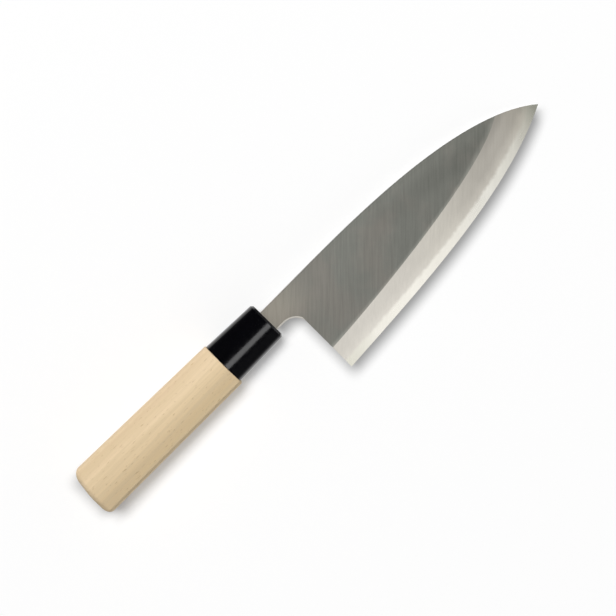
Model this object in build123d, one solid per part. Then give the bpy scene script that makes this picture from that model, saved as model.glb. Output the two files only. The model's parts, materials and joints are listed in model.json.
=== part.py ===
"""A right-handed deba: a thick single-bevel kitchen knife with a welded blade and a wooden grip.

It is drawn flat first: X runs from the front of the ferrule to the tip, Y towards the spine, and Z up from
the flat back of the blade, with the axis of the grip at Y zero. At the end it is laid down on its back as
on a board, with the board at Z zero and the middle of the knife above the origin.
"""
from build123d import *
from math import cos
from math import pi
from math import radians
from math import sin
from math import tan
import os

# Outline of the blade: positions from the ferrule's front and the axis of the grip
blade_reach = 177.3
spine_rise = 5.1
spine_straight = 34.2
spine_arm = 45.9
spine_tip_arm = 38.6
spine_tip_angle = 39.4
tip_drop = 21.3
heel_setback = 13.3
heel_drop = 48.0
edge_heel_arm = 60.1
edge_heel_angle = 3.0
edge_tip_arm = 47.1
edge_tip_angle = 26.0
choil_start = 4.7
choil_radius = 9.0
choil_turn_angle = 75.0
neck_height = 12.1

# Thickness of the blade: the face tapers towards the tip, bows a little and leans towards the edge
neck_thickness = 6.5
tip_thickness = 1.9
face_bow = 0.5
face_lean = 0.4
edge_thickness = 0.15

# Bevel: the ridge where the face ends runs past the spine, above the tip
ridge_heel_drop = 33.5
ridge_arm = 37.5
ridge_angle = 1.0
ridge_end_reach = 163.0
ridge_end_rise = 1.5
ridge_end_arm = 27.4
ridge_end_angle = 66.0
bevel_stations = 15
bevel_overhang_share = 0.06
ruling_overhang_share = 0.5

# Steel layer: the width that it shows on the bevel, and the soft wave of its weld line
steel_show = 4.7
steel_start = 7.7
weld_wave = 0.25
weld_waves = 7
weld_stations = 57

# Hollow of the back: depth and the flat rim round it
hollow_depth = 0.5
spine_rim = 2.4
edge_rim = 2.2
heel_rim = 3.5
tip_rim = 15.0
hollow_columns = 25
hollow_rows = 9
hollow_margin_share = 0.08
hollow_end_power = 8
hollow_side_power = 2

# Eased edges of the blade
choil_round = 0.8
spine_ease = 0.35

# Neck inside the ferrule, and the tang behind it
neck_seat = 3.5
tang_shoulder = 0.4
tang_length = 88.0
tang_end_height = 6.0
tang_end_thickness = 2.8

# Ferrule: half sizes of its section in front, from the axis, and how that grows and moves to the rear
ferrule_length = 31.4
ferrule_spine = 11.0
ferrule_edge = 11.3
ferrule_top = 8.7
ferrule_bottom = 8.5
ferrule_crown_round = 14.0
ferrule_growth_share = 1.09
ferrule_shift_spine = 0.4
ferrule_shift_top = 0.3
ferrule_wall = 4.0
ferrule_chamfer = 1.1
ferrule_rear_ease = 0.3
slot_clearance = 0.15

# Grip: half sizes of its section at the joint, from the axis, and how that grows and moves to the butt
handle_length = 124.5
grip_spine = 13.0
grip_edge = 13.3
grip_top = 10.9
grip_bottom = 10.3
grip_crown_round = 17.0
grip_growth_share = 1.07
grip_shift_spine = 1.6
grip_shift_top = 0.4
grip_front_chamfer = 0.6
butt_round_length = 3.6
butt_round_depth = 7.0
butt_skew_angle = 4.5
butt_stations = 5

# Section of grip and ferrule: an oval below, and above it two flat flanks that meet in a rounded crown and
# turn down into the sides at a shoulder
crown_offset = 1.2
crown_arm_share = 0.65
flank_angle = 17.0
shoulder_reach = 2.4
shoulder_arm_share = 0.6
side_arm_share = 0.7
oval_arm_share = 0.5523

# Tenon of the grip inside the ferrule, and the slot for the tang
tenon_height = 17.0
tenon_thickness = 13.4
tenon_clearance = 0.15
tenon_end_gap = 0.3
tang_clearance = 0.15
tang_end_gap = 2.0

# Densities that place the centre of mass, as shares of the density of steel
steel_density_share = 1.0
ferrule_density_share = 0.15
wood_density_share = 0.065

# Laying the knife down: rounds of finding its two places of contact, and points tried on each rim line
settling_rounds = 6
rim_samples = 24
run_step_share = 0.001
run_tolerance_share = 0.000001

# How far cutting bodies run past the piece that they cut
overrun = 3.0

axis_height = neck_thickness / 2


def arm(start, length, angle):
    """Control point at a distance from an end of a curve, in its tangent's direction."""
    return Vector(start) + Vector(length, 0).rotate(Axis.Z, angle)


def on_curve(poles, share):
    """Point of a cubic curve at a share of its run, also a little past either end."""
    start, first, second, end = poles
    rest = 1 - share
    return start * rest**3 + (first * rest + second * share) * 3 * rest * share + end * share**3


def at_reach(poles, reach):
    """Share of a curve's run at which it is that far from the ferrule."""
    low, high = 0.0, 1.0
    while high - low > run_tolerance_share:
        middle = (low + high) / 2
        if on_curve(poles, middle).X < reach:
            low = middle
        else:
            high = middle
    return low


tip = Vector(blade_reach, -tip_drop)
heel = Vector(heel_setback, -heel_drop)
spine_end = Vector(spine_straight, spine_rise)
ridge_start = Vector(heel_setback, -ridge_heel_drop)
ridge_end = Vector(ridge_end_reach, ridge_end_rise)

spine_poles = (
    spine_end,
    arm(spine_end, spine_arm, 0),
    arm(tip, spine_tip_arm, 180 - spine_tip_angle),
    tip,
)
edge_poles = (
    heel,
    arm(heel, edge_heel_arm, edge_heel_angle),
    arm(tip, edge_tip_arm, 180 + edge_tip_angle),
    tip,
)
ridge_poles = (
    ridge_start,
    arm(ridge_start, ridge_arm, ridge_angle),
    arm(ridge_end, ridge_end_arm, 180 + ridge_end_angle),
    ridge_end,
)


def face_height(reach, rise):
    """Height of the blade's upper face above the back."""
    share = reach / blade_reach
    taper = neck_thickness + (tip_thickness - neck_thickness) * share
    lean = face_lean * (rise - spine_rise) / heel_drop
    return taper + 4 * face_bow * share * (1 - share) + lean


def bevel_ruling(share):
    """The straight line of the bevel at a share of the edge's run: from the edge to the ridge."""
    low = on_curve(edge_poles, share)
    high = on_curve(ridge_poles, share)
    return (
        Vector(low.X, low.Y, edge_thickness),
        Vector(high.X, high.Y, face_height(high.X, high.Y)),
    )


def run_shares(count):
    """Evenly spaced shares that run a little past both ends."""
    span = 1 + 2 * bevel_overhang_share
    return [span * index / (count - 1) - bevel_overhang_share for index in range(count)]


def blade_outline():
    """Face of the blade and neck seen from above, back to where the neck ends inside the ferrule."""
    low = spine_rise - neck_height
    under_neck = Line((-neck_seat, low), (choil_start, low))
    choil = JernArc(under_neck @ 1, (1, 0), choil_radius, -choil_turn_angle)
    lines = [
        under_neck,
        choil,
        Line(choil @ 1, heel),
        Bezier(*edge_poles),
        Bezier(*reversed(spine_poles)),
        Line(spine_end, (-neck_seat, spine_rise)),
        Line((-neck_seat, spine_rise), (-neck_seat, low)),
    ]
    return make_face(lines)


def below_face():
    """Everything under the blade's upper face, which is a parabola from the neck to the tip."""
    start = -neck_seat - overrun
    end = blade_reach + overrun
    middle = (start + end) / 2
    far = -heel_drop - overrun
    start_height = face_height(start, far)
    end_height = face_height(end, far)
    pole_height = 2 * face_height(middle, far) - (start_height + end_height) / 2
    top = Bezier((start, far, start_height), (middle, far, pole_height), (end, far, end_height))
    sides = Polyline(top @ 1, (end, far, -overrun), (start, far, -overrun), top @ 0)
    depth = spine_rise + overrun - far
    lean = face_lean * depth / heel_drop
    return Solid.extrude(make_face([top, sides]).face(), Vector(0, depth, lean))


def above_bevel():
    """Everything over the bevel, whose straight rulings run on past the edge and the ridge."""
    outer = []
    inner = []
    for share in run_shares(bevel_stations):
        low, high = bevel_ruling(share)
        outer.append(low + (low - high) * ruling_overhang_share)
        inner.append(high + (high - low) * ruling_overhang_share)
    surface = Face.make_surface_from_curves(Spline(*outer).edge(), Spline(*inner).edge())
    return Solid.extrude(surface, Vector(0, 0, 2 * neck_thickness))


def below_weld():
    """Everything under the weld between steel and iron, ahead of where the steel starts."""
    points = []
    for share in run_shares(weld_stations):
        low, high = bevel_ruling(share)
        width = Vector(high.X - low.X, high.Y - low.Y).length
        wave = weld_wave * (sin(2 * pi * weld_waves * share) + sin(pi * weld_waves * share * share))
        point = low + (high - low) * ((steel_show + wave) / width)
        points.append((point.X, 0, point.Z))
    weld = Spline(*points)
    sides = Polyline(weld @ 1, ((weld @ 1).X, 0, -overrun), ((weld @ 0).X, 0, -overrun), weld @ 0)
    zone = extrude(make_face([weld, sides]), heel_drop + overrun, both=True)
    return split(zone, bisect_by=Plane.YZ.offset(steel_start), keep=Keep.TOP)


def back_hollow():
    """The shallow hollow of the back, rounded at its ends, with a flat rim all round it."""
    start = heel_setback + heel_rim
    half = (blade_reach - tip_rim - start) / 2
    grid = []
    for column in range(hollow_columns):
        u = (1 + hollow_margin_share) * (2 * column / (hollow_columns - 1) - 1)
        reach = start + half * (1 + u)
        low = on_curve(edge_poles, at_reach(edge_poles, reach)).Y + edge_rim
        high = spine_rise - spine_rim
        if reach > spine_straight:
            high = on_curve(spine_poles, at_reach(spine_poles, reach)).Y - spine_rim
        row = []
        for step in range(hollow_rows):
            v = (1 + hollow_margin_share) * (2 * step / (hollow_rows - 1) - 1)
            depth = hollow_depth * (1 - abs(u) ** hollow_end_power - abs(v) ** hollow_side_power)
            row.append((reach, (low + high) / 2 + v * (high - low) / 2, depth))
        grid.append(row)
    surface = Face.make_surface_from_array_of_points(grid)
    return Solid.extrude(surface, Vector(0, 0, -overrun))


def tang(grow=0, end_gap=0):
    """The tapering tang behind the neck; grown all round it is the slot that takes it."""
    middle = spine_rise - neck_height / 2
    inset = tang_shoulder - grow
    front = Rectangle(neck_height - 2 * inset, neck_thickness - 2 * inset)
    rear = Rectangle(tang_end_height + 2 * grow, tang_end_thickness + 2 * grow)
    return loft([
        axis_plane(-neck_seat) * Pos(middle, 0) * front,
        axis_plane(-tang_length - end_gap) * Pos(middle, 0) * rear,
    ])


def is_upright(line):
    """Whether an edge of the blade runs through its thickness rather than along it."""
    return line.length < 2 * neck_thickness and abs((line @ 1).Z - (line @ 0).Z) > tip_thickness


def under_neck_edges(blade):
    """The long edges along the underside of the neck and round the choil."""
    low = spine_rise - neck_height
    lines = [line for line in blade.edges() if not is_upright(line)]
    lines = [line for line in lines if -neck_seat < (line @ 0.5).X < choil_start + choil_radius]
    return [line for line in lines if low - choil_radius < (line @ 0.5).Y < low + spine_ease]


def spine_edges(blade):
    """The long edges along the straight part of the spine."""
    lines = [line for line in blade.edges() if not is_upright(line)]
    lines = [line for line in lines if -neck_seat < (line @ 0.5).X < spine_straight]
    return [line for line in lines if (line @ 0.5).Y > spine_rise - spine_ease]


def eased(blade):
    """Round the underside of the neck and the choil, and take the sharpness off the spine."""
    blade = fillet(under_neck_edges(blade), choil_round)
    return fillet(spine_edges(blade), spine_ease)


def whole_blade():
    """Iron and steel as one forging, before the weld parts them."""
    blade = extrude(blade_outline(), 2 * neck_thickness) & below_face()
    blade -= above_bevel()
    blade -= back_hollow()
    return eased(blade)


def axis_plane(place):
    """Plane square to the grip, with its origin on the grip's axis."""
    return Plane.YZ.shift_origin(Vector(0, 0, axis_height)).offset(place)


def grip_section(spine, edge, top, bottom, crown_round):
    """Section of grip or ferrule round its axis, from its half sizes and the radius of its crown."""
    slope = radians(flank_angle)
    crown_half = crown_round * tan(slope)
    peak = Vector(-crown_offset, top + crown_round / cos(slope) - crown_round)
    lines = []
    crown_poles = []
    for side, along in ((spine, 1), (-edge, -1)):
        down = Vector(along * cos(slope), -sin(slope))
        corner = peak + down * (abs(side - peak.X) / cos(slope))
        crown_end = peak + down * crown_half
        shoulder = corner - down * shoulder_reach
        lines.append(Line(crown_end, shoulder))
        lines.append(Bezier(
            shoulder,
            shoulder + down * shoulder_reach * shoulder_arm_share,
            (side, corner.Y * side_arm_share),
            (side, 0),
        ))
        lines.append(Bezier(
            (side, 0),
            (side, -bottom * oval_arm_share),
            (side * oval_arm_share, -bottom),
            (0, -bottom),
        ))
        crown_poles.append((crown_end, crown_end - down * crown_half * crown_arm_share))
    (spine_pole, spine_arm_pole), (edge_pole, edge_arm_pole) = crown_poles
    lines.append(Bezier(spine_pole, spine_arm_pole, edge_arm_pole, edge_pole))
    return make_face(lines)


def along_cone(front, run_share, growth_share, shift):
    """Section at a share of the run along a cone that starts at the front section."""
    growth = 1 + (growth_share - 1) * run_share
    return Pos(shift * run_share) * scale(front, growth)


def drawn_in(section, inset):
    """A section made smaller round its middle, by about the inset on each side."""
    box = section.bounding_box()
    middle = Pos(box.center())
    return middle * scale(middle.inverse() * section, 1 - 2 * inset / box.size.X)


def ferrule_piece():
    """Collar at the front of the grip: closed in front but for the slot, bored for the tenon behind."""
    front = grip_section(
        ferrule_spine, ferrule_edge, ferrule_top, ferrule_bottom, ferrule_crown_round
    )
    shift = Vector(ferrule_shift_spine, ferrule_shift_top)
    rear = along_cone(front, 1, ferrule_growth_share, shift)
    shoulder = along_cone(front, ferrule_chamfer / ferrule_length, ferrule_growth_share, shift)
    body = loft([
        axis_plane(0) * drawn_in(front, ferrule_chamfer),
        axis_plane(-ferrule_chamfer) * shoulder,
        axis_plane(ferrule_rear_ease - ferrule_length) * rear,
        axis_plane(-ferrule_length) * drawn_in(rear, ferrule_rear_ease),
    ], ruled=True)
    bore = axis_plane(-ferrule_length) * tenon_oval(tenon_clearance)
    body -= extrude(bore, ferrule_length - ferrule_wall)
    return body - neck_slot()


def tenon_oval(grow):
    """Section of the tenon, grown all round for its bore."""
    return Ellipse(tenon_height / 2 + grow, tenon_thickness / 2 + grow)


def neck_slot():
    """Slot of the ferrule's front wall, which the neck fills."""
    middle = spine_rise - neck_height / 2
    size = (
        2 * overrun + ferrule_wall,
        neck_height + 2 * slot_clearance,
        neck_thickness + 2 * slot_clearance,
    )
    return Pos(-ferrule_wall / 2, middle, axis_height) * Box(*size)


def butt_sections(butt):
    """Sections of the rounded butt, cut a little askew, from where its round begins to the flat end."""
    sections = []
    for station in range(butt_stations):
        turn = pi / 2 * station / (butt_stations - 1)
        place = butt_round_length * (1 - sin(turn)) - handle_length
        inset = butt_round_depth * (1 - cos(turn))
        sections.append(axis_plane(place) * Rot(0, -butt_skew_angle, 0) * drawn_in(butt, inset))
    return sections


def handle_piece():
    """Wooden grip with its tenon, slotted from the front for the tang."""
    front = grip_section(grip_spine, grip_edge, grip_top, grip_bottom, grip_crown_round)
    butt = along_cone(front, 1, grip_growth_share, Vector(grip_shift_spine, grip_shift_top))
    round_sections = butt_sections(butt)
    body = loft([
        axis_plane(-ferrule_length) * drawn_in(front, grip_front_chamfer),
        axis_plane(-ferrule_length - grip_front_chamfer) * front,
        round_sections[0],
    ], ruled=True)
    body += loft(round_sections)
    tenon_length = ferrule_length - ferrule_wall - tenon_end_gap
    body += extrude(axis_plane(-ferrule_length) * tenon_oval(0), tenon_length)
    return body - tang(tang_clearance, tang_end_gap)


def flat_pieces():
    """All pieces, still flat on the plane of the blade's back."""
    blade = whole_blade()
    zone = below_weld()
    return {
        "blade_body": (blade - zone) + tang(),
        "edge_steel": blade & zone,
        "ferrule": ferrule_piece(),
        "handle": handle_piece(),
    }


def centre_of_mass(pieces):
    """Centre of mass of the whole knife, seen from above."""
    shares = {"ferrule": ferrule_density_share, "handle": wood_density_share}
    total = 0
    moment = Vector()
    for name, piece in pieces.items():
        mass = piece.volume * shares.get(name, steel_density_share)
        total += mass
        moment += piece.center(CenterOf.MASS) * mass
    return Vector(moment.X, moment.Y) / total


def belly_share(foot, centre):
    """Share of the edge's run that lies on the straight line from the foot through the centre of mass."""
    low, high = 0.0, 1.0
    while high - low > run_tolerance_share:
        middle = (low + high) / 2
        if (centre - foot).cross(on_curve(edge_poles, middle) - foot).Z < 0:
            low = middle
        else:
            high = middle
    return low


def board_plane(pieces):
    """The board under the knife: it touches the lowest rim of the grip and the belly of the edge.

    The centre of mass stands over the line between the two contacts.
    """
    centre = centre_of_mass(pieces)
    lines = pieces["ferrule"].edges() + pieces["handle"].edges()
    rim = [line @ (step / rim_samples) for line in lines for step in range(rim_samples + 1)]
    up = Vector(0, 0, 1)
    for _ in range(settling_rounds):
        foot = min(rim, key=up.dot)
        share = belly_share(Vector(foot.X, foot.Y), centre)
        belly = on_curve(edge_poles, share)
        along = on_curve(edge_poles, share + run_step_share) - belly
        up = along.cross(foot - belly).normalized()
    ahead = up.cross(Vector(0, -1, 0))
    return Plane(belly, x_dir=ahead, z_dir=up)


def build():
    """All pieces of the knife as it lies on a board."""
    pieces = flat_pieces()
    board = board_plane(pieces)
    pieces = {name: board.to_local_coords(piece) for name, piece in pieces.items()}
    box = Compound(list(pieces.values())).bounding_box()
    ground = Pos(-(box.min.X + box.max.X) / 2, -(box.min.Y + box.max.Y) / 2, -box.min.Z)
    return {name: ground * piece for name, piece in pieces.items()}


if __name__ == "__main__":
    os.makedirs("parts", exist_ok=True)
    for name, piece in build().items():
        print(name, len(piece.solids()), round(piece.volume, 1), piece.is_valid)
        export_step(piece, f"parts/{name}.step")
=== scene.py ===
"""Looks, light and camera for a deba knife that lies on a white sheet.

All that is seen of the knife is its CAD solids, and this script gives them procedural materials. These are
laid out in the knife's own frame, in millimetres: X runs from the front of the ferrule to the tip, Y towards
the spine, and Z from the flat back up through the blade. That frame is worked out from the mount in the
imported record. Places in the world are in metres.
"""
import bpy
import json
import math
from mathutils import Color, Matrix, Vector

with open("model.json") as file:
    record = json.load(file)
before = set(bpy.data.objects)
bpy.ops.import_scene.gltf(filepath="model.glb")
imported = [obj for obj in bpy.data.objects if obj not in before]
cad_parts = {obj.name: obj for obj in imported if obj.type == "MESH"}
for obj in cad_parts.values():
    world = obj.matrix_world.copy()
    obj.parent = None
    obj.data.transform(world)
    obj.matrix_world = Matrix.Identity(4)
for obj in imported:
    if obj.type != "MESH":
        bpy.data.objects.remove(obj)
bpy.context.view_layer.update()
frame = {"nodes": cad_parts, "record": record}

# One millimetre in metres
MM = 0.001

# Place of the record's mount in the knife's own frame
mount_reach = 80.0 * MM
mount_rise = 2.4 * MM

# Photo: its width, its pixels to the metre, and the CAD origin's place from its middle in pixels
photo_width = 616
photo_scale = 1935.9
origin_right = 17.92
origin_up = 2.28

# Camera: its height over the sheet, how far the knife is turned in its picture, its sensor in millimetres
camera_height = 550.0 * MM
knife_turn_angle = math.radians(45.226)
camera_sensor = 36.0

# Sheet: how far it reaches each way, its colour, and the glow that lets it show white
sheet_reach = 3.0
sheet_colour = (0.8, 0.8, 0.8, 1.0)
sheet_glow_share = 0.29

# Room: light at its walls and overhead, and the heights between which one becomes the other, where 0 is
# level and 1 straight up. Then where it darkens towards the spine's side, and the share that is left there
room_walls = 0.4
room_overhead = 0.02
room_heights = (0.35, 0.85)
room_dark_side = (-0.2, 0.6)
room_dark_share = 0.3

# Lamps: degrees round from the spine's side, degrees down from straight above, the width and height that
# the lamp has at a distance of one metre, and radiance
lamps = {
    "key": (10, 33, (0.65, 0.5), 10.4),
    "edge_side_fill": (180, 76, (1.6, 0.45), 0.6),
    "sheet_key": (20, 18.5, (0.45, 0.36), 16.4),
    "blade_panel": (160, 35, (2.2, 1.5), 1.05),
    "spine_wall": (0, 52, (1.8, 1.3), 0.8),
    "tip_wall": (90, 62, (1.8, 0.8), 0.8),
    "butt_wall": (270, 62, (1.8, 0.8), 0.8),
    "collar_panel": (180, 13.6, (1.2, 0.345), 2.8),
}
lamp_distance = 1.0
sheet_key_distance = 12.0

# Edge, spine and seen ridge of the blade: distance from the ferrule, and rise towards the spine
tip = (177.3, -21.3)
edge_line = (
    (13.3, -48.0), (45, -46.3), (75, -44.1), (105, -40.8), (130, -36.6), (150, -31.6), (165, -26.6), tip,
)
spine_line = (
    (34, 5.1), (80, 4.0), (105, 1.9), (130, -2.3), (150, -7.9), (165, -13.5), tip,
)
ridge_line = (
    (13.3, -33.5), (45, -31.8), (75, -28.7), (96.5, -25.7), (112, -23.2), (127.5, -19.9), (140.4, -16.6),
    (151.3, -12.8), (160, -8.8),
)
line_reaches = (0, 180)
line_rises = (-60, 20)

# Painted shadow on the sheet beside blade, neck and butt: how much light it takes, how it fades, where it
# starts and where it ends
shade_share = 0.68
shade_fade = (-1, 9.5)
shade_spine_fade = (0, 5)
shade_heel = (6.1, 17.8)
shade_tip = (169, 181)
neck_shade_rise = -8.5
neck_shade_start = (-4, 3)
neck_shade_end = (12, 22)
butt_shade_share = 0.5
butt_shade_start = (-136.6, -124.9)
butt_shade_end = (-120, -110)
butt_shade_edge_side = (-17, -9)
butt_shade_spine_side = (7, 17)

# Colours along the blade, each after its distance from the ferrule: face, bevel, steel strip and back. Each
# holds its metal's own colour, and in face, bevel and strip a painted reflection that darkens towards the
# tip
face_shades = (
    (0, (125, 125, 118)), (30, (122, 123, 117)), (65, (119, 120, 114)), (170, (102, 103, 97)),
)
bevel_shades = (
    (12, (192, 188, 180)), (35, (196, 192, 184)), (65, (191, 187, 179)), (96, (185, 181, 172)),
    (127, (163, 159, 151)), (150, (158, 154, 146)), (166, (148, 144, 135)), (174, (128, 128, 119)),
)
strip_shades = (
    (12, (202, 200, 188)), (20, (206, 204, 193)), (35, (221, 218, 209)), (65, (226, 223, 214)),
    (96, (219, 216, 207)), (127, (211, 209, 201)), (151, (195, 193, 184)), (166, (167, 165, 155)),
    (174, (138, 138, 128)),
)
back_shades = (
    (12, (216, 214, 208)), (170, (208, 207, 202)),
)

# Face: the warmer neck, faint stains, a painted sheen lighter towards the spine, and a darker zone along it
neck_shade = (148, 143, 133)
neck_reach = (34, 4)
neck_rise = (-16, -4)
stain_shade = (132, 125, 118)
stain_share = 0.4
stain_scale = 0.045
stain_detail = 3
stain_levels = (0.45, 0.7)
painted_spine_sheen_share = 1.16
painted_spine_sheen_rise = (-25, 5)
face_dip_share = 0.11
face_dip_start = (3, 9)
face_dip_end = (12, 19)
face_dip_reach = (50, 95)

# Ridge: how light a painted highlight makes the face along it and over what width, and how a painted shade
# darkens the bevel at it near the tip
ridge_highlight_share = 1.5
ridge_width = 2.2
ridge_tip_width = 3.8
ridge_tip_reach = (118, 142)
ridge_shade_share = 0.2
ridge_shade_reach = (122, 158)
ridge_shade_fade = (0, 5)

# Bevel: the lean towards the spine at which it becomes the face, the height over the edge at which steel
# becomes iron, how light the iron gets there, and the clouds that make that weld wavy
bevel_lean = (-0.06, -0.03)
strip_rise = (3.4, 5.8)
weld_lift_share = 1.1
weld_tip_lift_share = 1.25
weld_tip_reach = (105, 145)
weld_lift_rise = (5, 10.5)
weld_cloud = 1.0
weld_cloud_scale = 0.35
weld_cloud_detail = 4

# Back: the upward lean at which it becomes the bevel, and its hollow, which is darker than the rim round it
back_lean = (-0.2, 0.2)
hollow_share = 0.7
hollow_depth = (0.01, 0.08)

# Grinding: the slant of its lines, their pattern and relief, broader clouds and their strength as a share of
# the lines', and how much of each metal's lightness the lines take or add
grind_angle = math.radians(45)
grind_length = 24
grind_scale = 1.0
grind_detail = 4
grind_fine_share = 0.6
grind_bump_share = 0.25
grind_bump = 0.02 * MM
cloud_scale = 0.09
cloud_detail = 3
cloud_share = 0.5
face_grind_share = 0.12
bevel_grind_share = 0.05
steel_grind_share = 0.03

# Roughness of both metals, and how far the clouds change it
iron_roughness = 0.36
steel_roughness = 0.3
roughness_spread = 0.04

# Collar: its colour, the swirls in its polish, and the roughness that they go between
collar_shade = (4, 4, 6)
swirl_scale = 0.5
swirl_detail = 4
collar_roughness = (0.13, 0.19)

# Wood: colours across the grip from the edge side to the spine side, with painted light and shade in them:
# lighter at the edge side's rim, warmer and darker just inside it, darker at the spine side's rim. Then
# grain, pores and finish
wood_painted_shades = (
    (-13, (238, 213, 171)), (-9, (228, 203, 161)), (0, (232, 208, 170)), (5, (234, 211, 176)),
    (9, (231, 207, 172)), (13, (219, 194, 160)),
)
wood_rises = (-15, 15)
grain_shade = (223, 200, 163)
grain_length = 40
grain_scale = 0.5
grain_detail = 5
grain_fine_share = 0.6
grain_levels = (0.35, 0.65)
grain_bump_share = 0.3
grain_bump = 0.1 * MM
pore_shade = (192, 163, 122)
pore_share = 0.65
pore_length = 5
pore_scale = 1.7
pore_detail = 3
pore_levels = (0.62, 0.72)
wood_roughness = 0.62
wood_gloss_share = 0.3

# Levels of a noise pattern that count as its lowest and its highest, for a colour and for a polish
worn_levels = (0.25, 0.75)
polish_levels = (0.3, 0.7)

# White of what glows, and the highest level of a channel in a written colour
white = (1.0, 1.0, 1.0, 1.0)
full_level = 255


def colour(red, green, blue):
    """Linear colour of one written as it appears on a screen, from 0 to 255."""
    shown = Color((red / full_level, green / full_level, blue / full_level))
    return (*shown.from_srgb_to_scene_linear(), 1.0)


def knife_matrix():
    """Matrix from the knife's own frame to the world, from the flat back's mount in the record."""
    mount = frame["record"]["mounts"][0]
    up = -Vector(mount["axis"]).normalized()
    across = Vector((0, up.z, -up.y)).normalized()
    along = across.cross(up)
    turn = Matrix((along, across, up)).transposed()
    origin = Vector(mount["pos_m"]) - along * mount_reach - across * mount_rise
    return Matrix.Translation(origin) @ turn.to_4x4()


KNIFE = knife_matrix()


class Shader:
    """The node tree of one material or world, with a short call for each kind of node."""

    def __init__(self, tree):
        self.tree = tree
        self.nodes = tree.nodes
        self.nodes.clear()

    def set(self, socket, value):
        """Give an input a value, or link the output of another node to it."""
        if isinstance(value, bpy.types.NodeSocket):
            self.tree.links.new(value, socket)
        else:
            socket.default_value = value

    def add(self, kind, inputs=None, **settings):
        """Add a node, with settings for its own properties and values for its inputs."""
        node = self.nodes.new(kind)
        for name, value in settings.items():
            setattr(node, name, value)
        for key, value in (inputs or {}).items():
            self.set(node.inputs[key], value)
        return node

    def math(self, operation, *values):
        """Result of one sum on numbers."""
        node = self.add("ShaderNodeMath", operation=operation)
        for socket, value in zip(node.inputs, values):
            self.set(socket, value)
        return node.outputs[0]

    def product(self, *values):
        """Numbers multiplied with each other."""
        result = values[0]
        for value in values[1:]:
            result = self.math("MULTIPLY", result, value)
        return result

    def rest(self, share):
        """What a share leaves of the whole."""
        return self.math("SUBTRACT", 1.0, share)

    def between(self, value, low, high, to_low=0.0, to_high=1.0, smooth=True):
        """A number carried from one range to another, and held at its ends."""
        node = self.add("ShaderNodeMapRange", {
            "Value": value, "From Min": low, "From Max": high, "To Min": to_low, "To Max": to_high,
        }, interpolation_type="SMOOTHSTEP" if smooth else "LINEAR")
        return node.outputs["Result"]

    def split(self, place):
        """The X, Y and Z of a place."""
        return self.add("ShaderNodeSeparateXYZ", {"Vector": place}).outputs

    def mix(self, share, first, second, blend="MIX"):
        """Two colours mixed by a share."""
        node = self.add("ShaderNodeMix", data_type="RGBA", blend_type=blend)
        # The node repeats its sockets by name for each kind of value, and these are the ones for colours
        self.set(node.inputs[0], share)
        self.set(node.inputs[6], first)
        self.set(node.inputs[7], second)
        return node.outputs[2]

    def scaled(self, shade, factor):
        """A colour made lighter or darker by a number."""
        grey = self.add("ShaderNodeCombineColor", {0: factor, 1: factor, 2: factor}).outputs[0]
        return self.mix(1.0, shade, grey, blend="MULTIPLY")

    def noise(self, place, scale, detail, fine_share=0.5):
        """Value of a noise pattern around one half, whose finer layers each keep a share of the last."""
        return self.add("ShaderNodeTexNoise", {
            "Vector": place, "Scale": scale, "Detail": detail, "Roughness": fine_share,
        }).outputs[0]

    def ramp(self, value, low, high, shades):
        """Colour along a row of shades, each after its place between low and high."""
        share = self.between(value, low, high, smooth=False)
        node = self.add("ShaderNodeValToRGB", {"Fac": share})
        elements = node.color_ramp.elements
        while len(elements) < len(shades):
            elements.new(0)
        for element, (place, shade) in zip(elements, shades):
            element.position = (place - low) / (high - low)
            element.color = colour(*shade)
        return node.outputs["Color"]

    def bump(self, height, strength_share, distance):
        """Surface direction under a fine relief."""
        return self.add("ShaderNodeBump", {
            "Height": height, "Strength": strength_share, "Distance": distance,
        }).outputs[0]

    def surface(self, inputs):
        """Finish a material with one principled surface."""
        self.output("ShaderNodeOutputMaterial", self.add("ShaderNodeBsdfPrincipled", inputs))

    def output(self, kind, node):
        """Link the last node to an output of some kind."""
        self.add(kind, {"Surface": node.outputs[0]})


def material(name):
    """A new material and its shader."""
    made = bpy.data.materials.new(name)
    made.use_nodes = True
    return made, Shader(made.node_tree)


def knife_place(shader):
    """Place of a point in the knife's own frame, in millimetres."""
    place = shader.add("ShaderNodeTexCoord").outputs["Object"]
    mapping = shader.add("ShaderNodeMapping", {
        "Vector": place, "Location": KNIFE.to_translation(), "Rotation": KNIFE.to_euler(),
        "Scale": (MM, MM, MM),
    }, vector_type="TEXTURE")
    return mapping.outputs["Vector"]


def stretched(shader, place, turn_angle, length):
    """Place for a pattern of fibres or lines: turned in the blade's plane and drawn out along them."""
    mapping = shader.add("ShaderNodeMapping", {
        "Vector": place, "Rotation": (0, 0, turn_angle), "Scale": (length, 1, 1),
    }, vector_type="TEXTURE")
    return mapping.outputs["Vector"]


def leaning(shader, axis):
    """How far the surface leans towards an axis of the knife's own frame."""
    normal = shader.add("ShaderNodeTexCoord").outputs["Normal"]
    towards = KNIFE.to_3x3().col["XYZ".index(axis)]
    node = shader.add("ShaderNodeVectorMath", {0: normal, 1: towards}, operation="DOT_PRODUCT")
    return node.outputs["Value"]


def rise_over(shader, parts, line):
    """How far a point lies over a curved line of the blade, towards the spine."""
    low, high = line_rises
    start, end = line_reaches
    node = shader.add("ShaderNodeFloatCurve", {
        "Value": shader.between(parts["X"], start, end, smooth=False),
    })
    points = node.mapping.curves[0].points
    while len(points) < len(line):
        points.new(0, 0)
    for point, (reach, rise) in zip(points, line):
        point.location = ((reach - start) / (end - start), (rise - low) / (high - low))
    node.mapping.extend = "HORIZONTAL"
    node.mapping.update()
    level = shader.between(node.outputs[0], 0.0, 1.0, low, high, smooth=False)
    return shader.math("SUBTRACT", parts["Y"], level)


def drop_below(shader, parts, line):
    """How far a point lies below a curved line of the blade, towards the edge."""
    return shader.math("MULTIPLY", rise_over(shader, parts, line), -1.0)


def shades_along(shader, parts, shades):
    """Colour that changes along the blade, from the ferrule to the tip."""
    return shader.ramp(parts["X"], 0, tip[0], shades)


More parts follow.
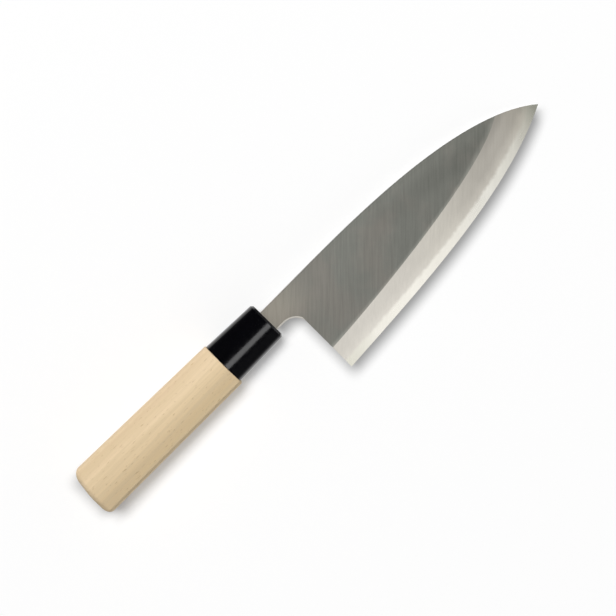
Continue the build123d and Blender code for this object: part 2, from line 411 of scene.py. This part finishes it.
def worn(shader, shade, pattern, share):
    """A colour made lighter and darker by a pattern around one half."""
    least = shader.rest(share)
    most = shader.math("ADD", 1.0, share)
    return shader.scaled(shade, shader.between(pattern, *worn_levels, least, most, smooth=False))


def ground_metal(shader, place, shade, roughness, share):
    """Ground metal: fine lines across the blade at a slant, with a few broader cloudy patches."""
    drawn_out = stretched(shader, place, grind_angle, grind_length)
    lines = shader.noise(drawn_out, grind_scale, grind_detail, grind_fine_share)
    clouds = shader.noise(place, cloud_scale, cloud_detail)
    shade = worn(shader, shade, lines, share)
    shade = worn(shader, shade, clouds, shader.product(share, cloud_share))
    least = roughness - roughness_spread
    most = roughness + roughness_spread
    shader.surface({
        "Base Color": shade,
        "Metallic": 1.0,
        "Roughness": shader.between(clouds, *polish_levels, least, most),
        "Normal": shader.bump(lines, grind_bump_share, grind_bump),
    })


def face_colour(shader, place):
    """Colour of the flat face: warmer on the neck and in faint stains, painted lighter along spine and
    ridge.
    """
    parts = shader.split(place)
    # Own colour of the face, with a painted reflection that darkens it towards the tip
    shade = shades_along(shader, parts, face_shades)
    on_neck = shader.product(
        shader.between(parts["X"], *neck_reach),
        shader.between(parts["Y"], *neck_rise),
    )
    shade = shader.mix(on_neck, shade, colour(*neck_shade))
    stains = shader.noise(place, stain_scale, stain_detail)
    stained = shader.between(stains, *stain_levels, 0.0, stain_share)
    shade = shader.mix(stained, shade, colour(*stain_shade))
    below_spine = drop_below(shader, parts, spine_line)
    dip = shader.product(
        shader.between(below_spine, *face_dip_start, 0.0, face_dip_share),
        shader.between(below_spine, *face_dip_end, 1.0, 0.0),
        shader.between(parts["X"], *face_dip_reach),
    )
    # Painted highlight on the face along the ridge, wider near the tip
    width = shader.between(parts["X"], *ridge_tip_reach, ridge_width, ridge_tip_width)
    over_ridge = rise_over(shader, parts, ridge_line)
    # Painted sheen towards the spine, the darker zone, and a painted highlight along the ridge
    return shader.scaled(shade, shader.product(
        shader.between(parts["Y"], *painted_spine_sheen_rise, 1.0, painted_spine_sheen_share),
        shader.rest(dip),
        shader.between(over_ridge, 0.0, width, ridge_highlight_share, 1.0),
    ))


def bevel_colour(shader, place):
    """Colour of the bevel: steel along the edge, then iron, lighter towards the weld and, near the tip,
    darker towards the ridge under a painted shade. Both pieces take it, so the weld between them has no hard
    line.
    """
    parts = shader.split(place)
    clouds = shader.noise(place, weld_cloud_scale, weld_cloud_detail)
    cloud = shader.between(clouds, 0.0, 1.0, -weld_cloud, weld_cloud, smooth=False)
    over_edge = shader.math("ADD", rise_over(shader, parts, edge_line), cloud)
    weld_lift = shader.between(parts["X"], *weld_tip_reach, weld_lift_share, weld_tip_lift_share)
    # Painted shade on the bevel just below the ridge near the tip
    dip = shader.product(
        shader.between(drop_below(shader, parts, ridge_line), *ridge_shade_fade, 1.0, 0.0),
        shader.between(parts["X"], *ridge_shade_reach, 0.0, ridge_shade_share),
    )
    # Own colours of iron and steel, with a painted reflection that darkens both towards the tip
    iron = shader.scaled(shades_along(shader, parts, bevel_shades), shader.product(
        shader.between(over_edge, *weld_lift_rise, weld_lift, 1.0),
        shader.rest(dip),
    ))
    steel = shades_along(shader, parts, strip_shades)
    return shader.mix(shader.between(over_edge, *strip_rise), steel, iron)


def back_colour(shader, place):
    """Colour of the back: a polished rim round the darker hollow."""
    parts = shader.split(place)
    hollow = shader.between(parts["Z"], *hollow_depth, 1.0, hollow_share)
    return shader.scaled(shades_along(shader, parts, back_shades), hollow)


def soft_iron():
    """Iron of the blade: a dark satin face and a brighter bevel below the ridge."""
    made, shader = material("soft_iron")
    place = knife_place(shader)
    on_face = shader.between(leaning(shader, "Y"), *bevel_lean)
    shade = shader.mix(on_face, bevel_colour(shader, place), face_colour(shader, place))
    share = shader.between(on_face, 0.0, 1.0, bevel_grind_share, face_grind_share)
    ground_metal(shader, place, shade, iron_roughness, share)
    return made


def hard_steel():
    """Hard steel along the edge and on the back, finely polished."""
    made, shader = material("hard_steel")
    place = knife_place(shader)
    on_bevel = shader.between(leaning(shader, "Z"), *back_lean)
    shade = shader.mix(on_bevel, back_colour(shader, place), bevel_colour(shader, place))
    ground_metal(shader, place, shade, steel_roughness, steel_grind_share)
    return made


def black_collar():
    """Black glossy collar with faint swirls in its polish."""
    made, shader = material("black_collar")
    swirls = shader.noise(knife_place(shader), swirl_scale, swirl_detail)
    shader.surface({
        "Base Color": colour(*collar_shade),
        "Roughness": shader.between(swirls, *polish_levels, *collar_roughness),
    })
    return made


def pale_wood():
    """Pale wood, bare and sanded smooth: soft long grain, short fine pores, and painted light and shade."""
    made, shader = material("pale_wood")
    place = knife_place(shader)
    long_place = stretched(shader, place, 0, grain_length)
    short_place = stretched(shader, place, 0, pore_length)
    grain = shader.noise(long_place, grain_scale, grain_detail, grain_fine_share)
    pores = shader.noise(short_place, pore_scale, pore_detail)
    # Painted light and shade across the grip, from the edge side to the spine side
    pale = shader.ramp(shader.split(place)["Y"], *wood_rises, wood_painted_shades)
    shade = shader.mix(shader.between(grain, *grain_levels), colour(*grain_shade), pale)
    in_pores = shader.product(shader.between(pores, *pore_levels), pore_share)
    shader.surface({
        "Base Color": shader.mix(in_pores, shade, colour(*pore_shade)),
        "Roughness": wood_roughness,
        "Specular IOR Level": wood_gloss_share,
        "Normal": shader.bump(grain, grain_bump_share, grain_bump),
    })
    return made


def dress(node, made):
    """Give a CAD node one material."""
    mesh = frame["nodes"][node].data
    mesh.materials.clear()
    mesh.materials.append(made)


def light_left_by_painted_shadow(shader):
    """Share of the sheet's white that a painted shadow leaves beside the knife: less close to edge and butt.
    """
    parts = shader.split(knife_place(shader))
    below_edge = drop_below(shader, parts, edge_line)
    below_spine = drop_below(shader, parts, spine_line)
    below_neck = shader.math("SUBTRACT", neck_shade_rise, parts["Y"])
    blade = shader.product(
        shader.between(below_edge, *shade_fade, shade_share, 0.0),
        shader.between(below_spine, *shade_spine_fade),
        shader.between(parts["X"], *shade_heel),
        shader.between(parts["X"], *shade_tip, 1.0, 0.0),
    )
    neck = shader.product(
        shader.between(below_neck, *shade_fade, shade_share, 0.0),
        shader.between(below_spine, *shade_spine_fade),
        shader.between(parts["X"], *neck_shade_start),
        shader.between(parts["X"], *neck_shade_end, 1.0, 0.0),
    )
    butt = shader.product(
        shader.between(parts["X"], *butt_shade_start, 0.0, butt_shade_share),
        shader.between(parts["X"], *butt_shade_end, 1.0, 0.0),
        shader.between(parts["Y"], *butt_shade_edge_side),
        shader.between(parts["Y"], *butt_shade_spine_side, 1.0, 0.0),
    )
    return shader.product(shader.rest(blade), shader.rest(neck), shader.rest(butt))


def sheet_white():
    """White of the sheet: matt, with a glow for the camera and for what is seen in or through a surface."""
    made, shader = material("sheet_white")
    # The painted shadow beside the knife darkens both the matt white and its glow
    left_by_painted_shadow = light_left_by_painted_shadow(shader)
    lit = shader.add("ShaderNodeBsdfDiffuse", {"Color": shader.scaled(sheet_colour, left_by_painted_shadow)})
    path = shader.add("ShaderNodeLightPath").outputs
    seen = shader.math("MAXIMUM", path["Is Camera Ray"], path["Is Glossy Ray"])
    seen = shader.math("MAXIMUM", seen, path["Is Transmission Ray"])
    strength = shader.product(seen, left_by_painted_shadow, sheet_glow_share)
    glow = shader.add("ShaderNodeEmission", {"Color": white, "Strength": strength})
    both = shader.add("ShaderNodeAddShader", {0: lit.outputs[0], 1: glow.outputs[0]})
    shader.output("ShaderNodeOutputMaterial", both)
    return made


def sheet():
    """The white sheet that the knife lies on."""
    mesh = bpy.data.meshes.new("sheet")
    corners = [(x * sheet_reach, y * sheet_reach, 0) for x, y in ((-1, -1), (1, -1), (1, 1), (-1, 1))]
    mesh.from_pydata(corners, [], [(0, 1, 2, 3)])
    mesh.materials.append(sheet_white())
    floor = bpy.data.objects.new("sheet", mesh)
    bpy.context.scene.collection.objects.link(floor)
    return floor


def room():
    """White to the camera, and to everything else a soft room: brighter towards its walls, and darker
    on the spine's side.
    """
    made = bpy.data.worlds.new("room")
    made.use_nodes = True
    shader = Shader(made.node_tree)
    parts = shader.split(shader.add("ShaderNodeTexCoord").outputs["Generated"])
    light = shader.product(
        shader.between(parts["Z"], *room_heights, room_walls, room_overhead),
        shader.between(parts["Y"], *room_dark_side, 1.0, room_dark_share),
    )
    seen = shader.add("ShaderNodeLightPath").outputs["Is Camera Ray"]
    strength = shader.math("MAXIMUM", seen, light)
    shader.output("ShaderNodeOutputWorld", shader.add("ShaderNodeBackground", {
        "Color": white, "Strength": strength,
    }))
    bpy.context.scene.world = made


def collection(name, pieces):
    """A collection that names some objects for a lamp."""
    made = bpy.data.collections.new(name)
    for piece in pieces:
        made.objects.link(piece)
    return made


def panel(name, lit, shading=(), gloss=True, distance=lamp_distance):
    """A soft box that looks at the knife, for some objects only, and shaded by all or only by some."""
    turn, drop, size, radiance = lamps[name]
    turn_angle = math.radians(turn)
    drop_angle = math.radians(drop)
    width, height = (side * distance for side in size)
    lamp = bpy.data.lights.new(name, "AREA")
    lamp.shape = "RECTANGLE"
    lamp.size = width
    lamp.size_y = height
    lamp.energy = radiance * math.pi * width * height
    body = bpy.data.objects.new(name, lamp)
    bpy.context.scene.collection.objects.link(body)
    away = Vector((
        math.sin(turn_angle) * math.sin(drop_angle),
        math.cos(turn_angle) * math.sin(drop_angle),
        math.cos(drop_angle),
    ))
    body.location = away * distance
    body.rotation_euler = away.to_track_quat("Z", "Y").to_euler()
    body.visible_camera = False
    body.visible_glossy = gloss
    body.light_linking.receiver_collection = collection(name, lit)
    if shading:
        body.light_linking.blocker_collection = collection(name + "_shading", shading)


def camera():
    """Camera over the knife, framed as the photo is."""
    lens = bpy.data.cameras.new("camera")
    lens.sensor_width = camera_sensor
    lens.lens = camera_sensor * photo_scale * camera_height / photo_width
    body = bpy.data.objects.new("camera", lens)
    bpy.context.scene.collection.objects.link(body)
    right = Vector((math.cos(knife_turn_angle), -math.sin(knife_turn_angle), 0))
    up = Vector((math.sin(knife_turn_angle), math.cos(knife_turn_angle), 0))
    back = Vector((0, 0, 1))
    middle = -(right * origin_right + up * origin_up) / photo_scale
    turn = Matrix((right, up, back)).transposed().to_4x4()
    body.matrix_world = Matrix.Translation(middle + back * camera_height) @ turn
    bpy.context.scene.camera = body


dress("blade_body", soft_iron())
dress("edge_steel", hard_steel())
dress("ferrule", black_collar())
dress("handle", pale_wood())

floor = sheet()
room()
nodes = frame["nodes"]
grip = (nodes["handle"], nodes["ferrule"])
blade = (nodes["blade_body"], nodes["edge_steel"])
panel("key", lit=grip, gloss=False)
panel("edge_side_fill", lit=(nodes["handle"],), gloss=False)
panel("sheet_key", lit=(floor,), shading=grip, gloss=False, distance=sheet_key_distance)
for lamp_name in ("blade_panel", "spine_wall", "tip_wall", "butt_wall"):
    panel(lamp_name, lit=blade)
panel("collar_panel", lit=(nodes["ferrule"],))
camera()
bpy.context.scene.view_settings.view_transform = "Standard"
